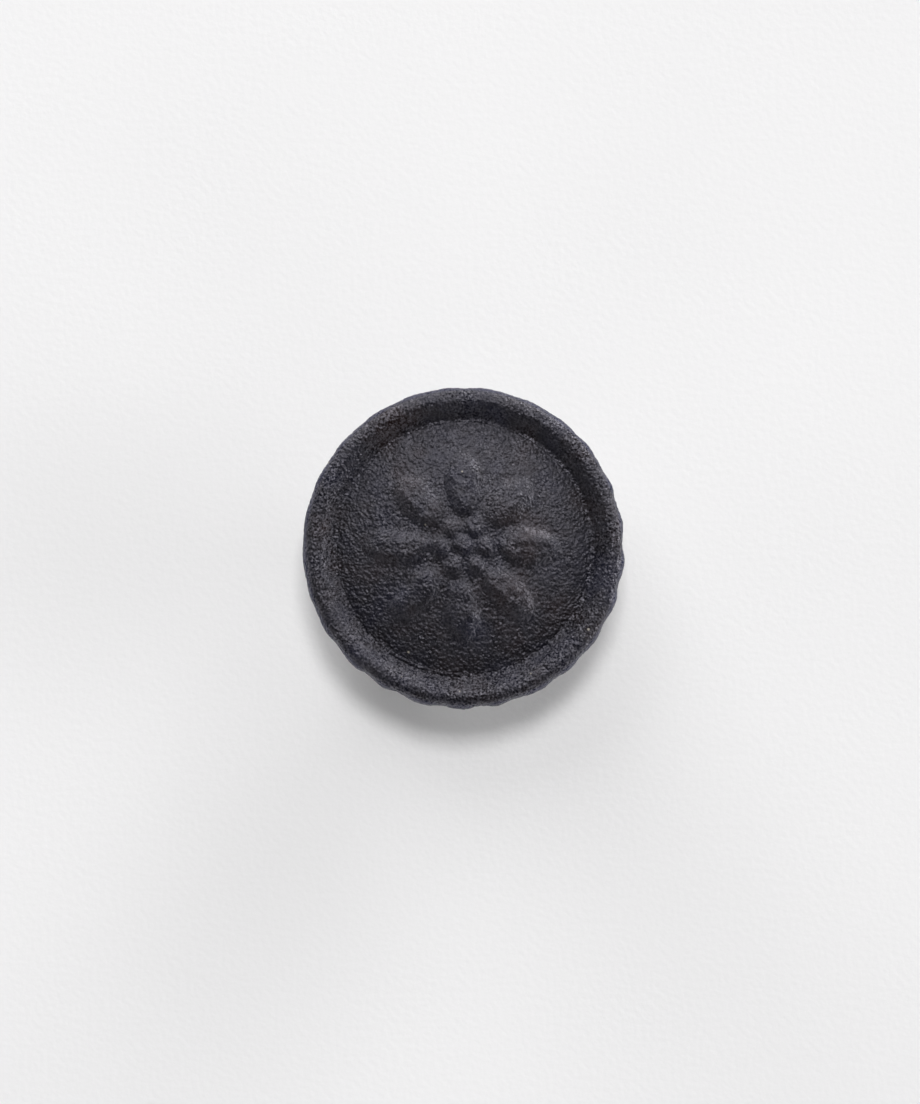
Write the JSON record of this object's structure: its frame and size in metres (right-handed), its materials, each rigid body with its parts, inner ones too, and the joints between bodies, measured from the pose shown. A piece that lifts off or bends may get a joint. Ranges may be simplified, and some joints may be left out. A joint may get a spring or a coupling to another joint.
{
  "type": "sew-on shank button",
  "caption": "Round sew-on shank button: domed face with an eight-petal rosette in low relief inside a rolled, scalloped rim, over a dished back with a drilled shank for thread.",
  "frame": {"origin": "centre of the shank's flat foot, which is the bottom centre of the whole button", "axes": "+Z straight out of the face, +Y along the bore of the thread eye, +X along the longer side of the shank and to the right as the face is looked at"},
  "size_m": [0.0254, 0.0254, 0.01],
  "materials": {
    "rim": "near-black pebbled powder coat, satin",
    "face": "near-black pebbled powder coat, satin, worn soft over the relief",
    "back": "near-black powder coat, thinner and finer grained than on the face",
    "shank": "near-black powder coat, rubbed at the foot and the mouths of the eye",
    "washer": "dull plain steel with fine stamping marks",
    "packing": "grey-brown pasteboard with fibres"
  },
  "bodies": {
    "root": {"rim_ring": "rim", "face_shell": "face", "back_shell": "back", "shank": "shank", "shank_washer": "washer", "packing_disc": "packing"}
  },
  "joints": []
}
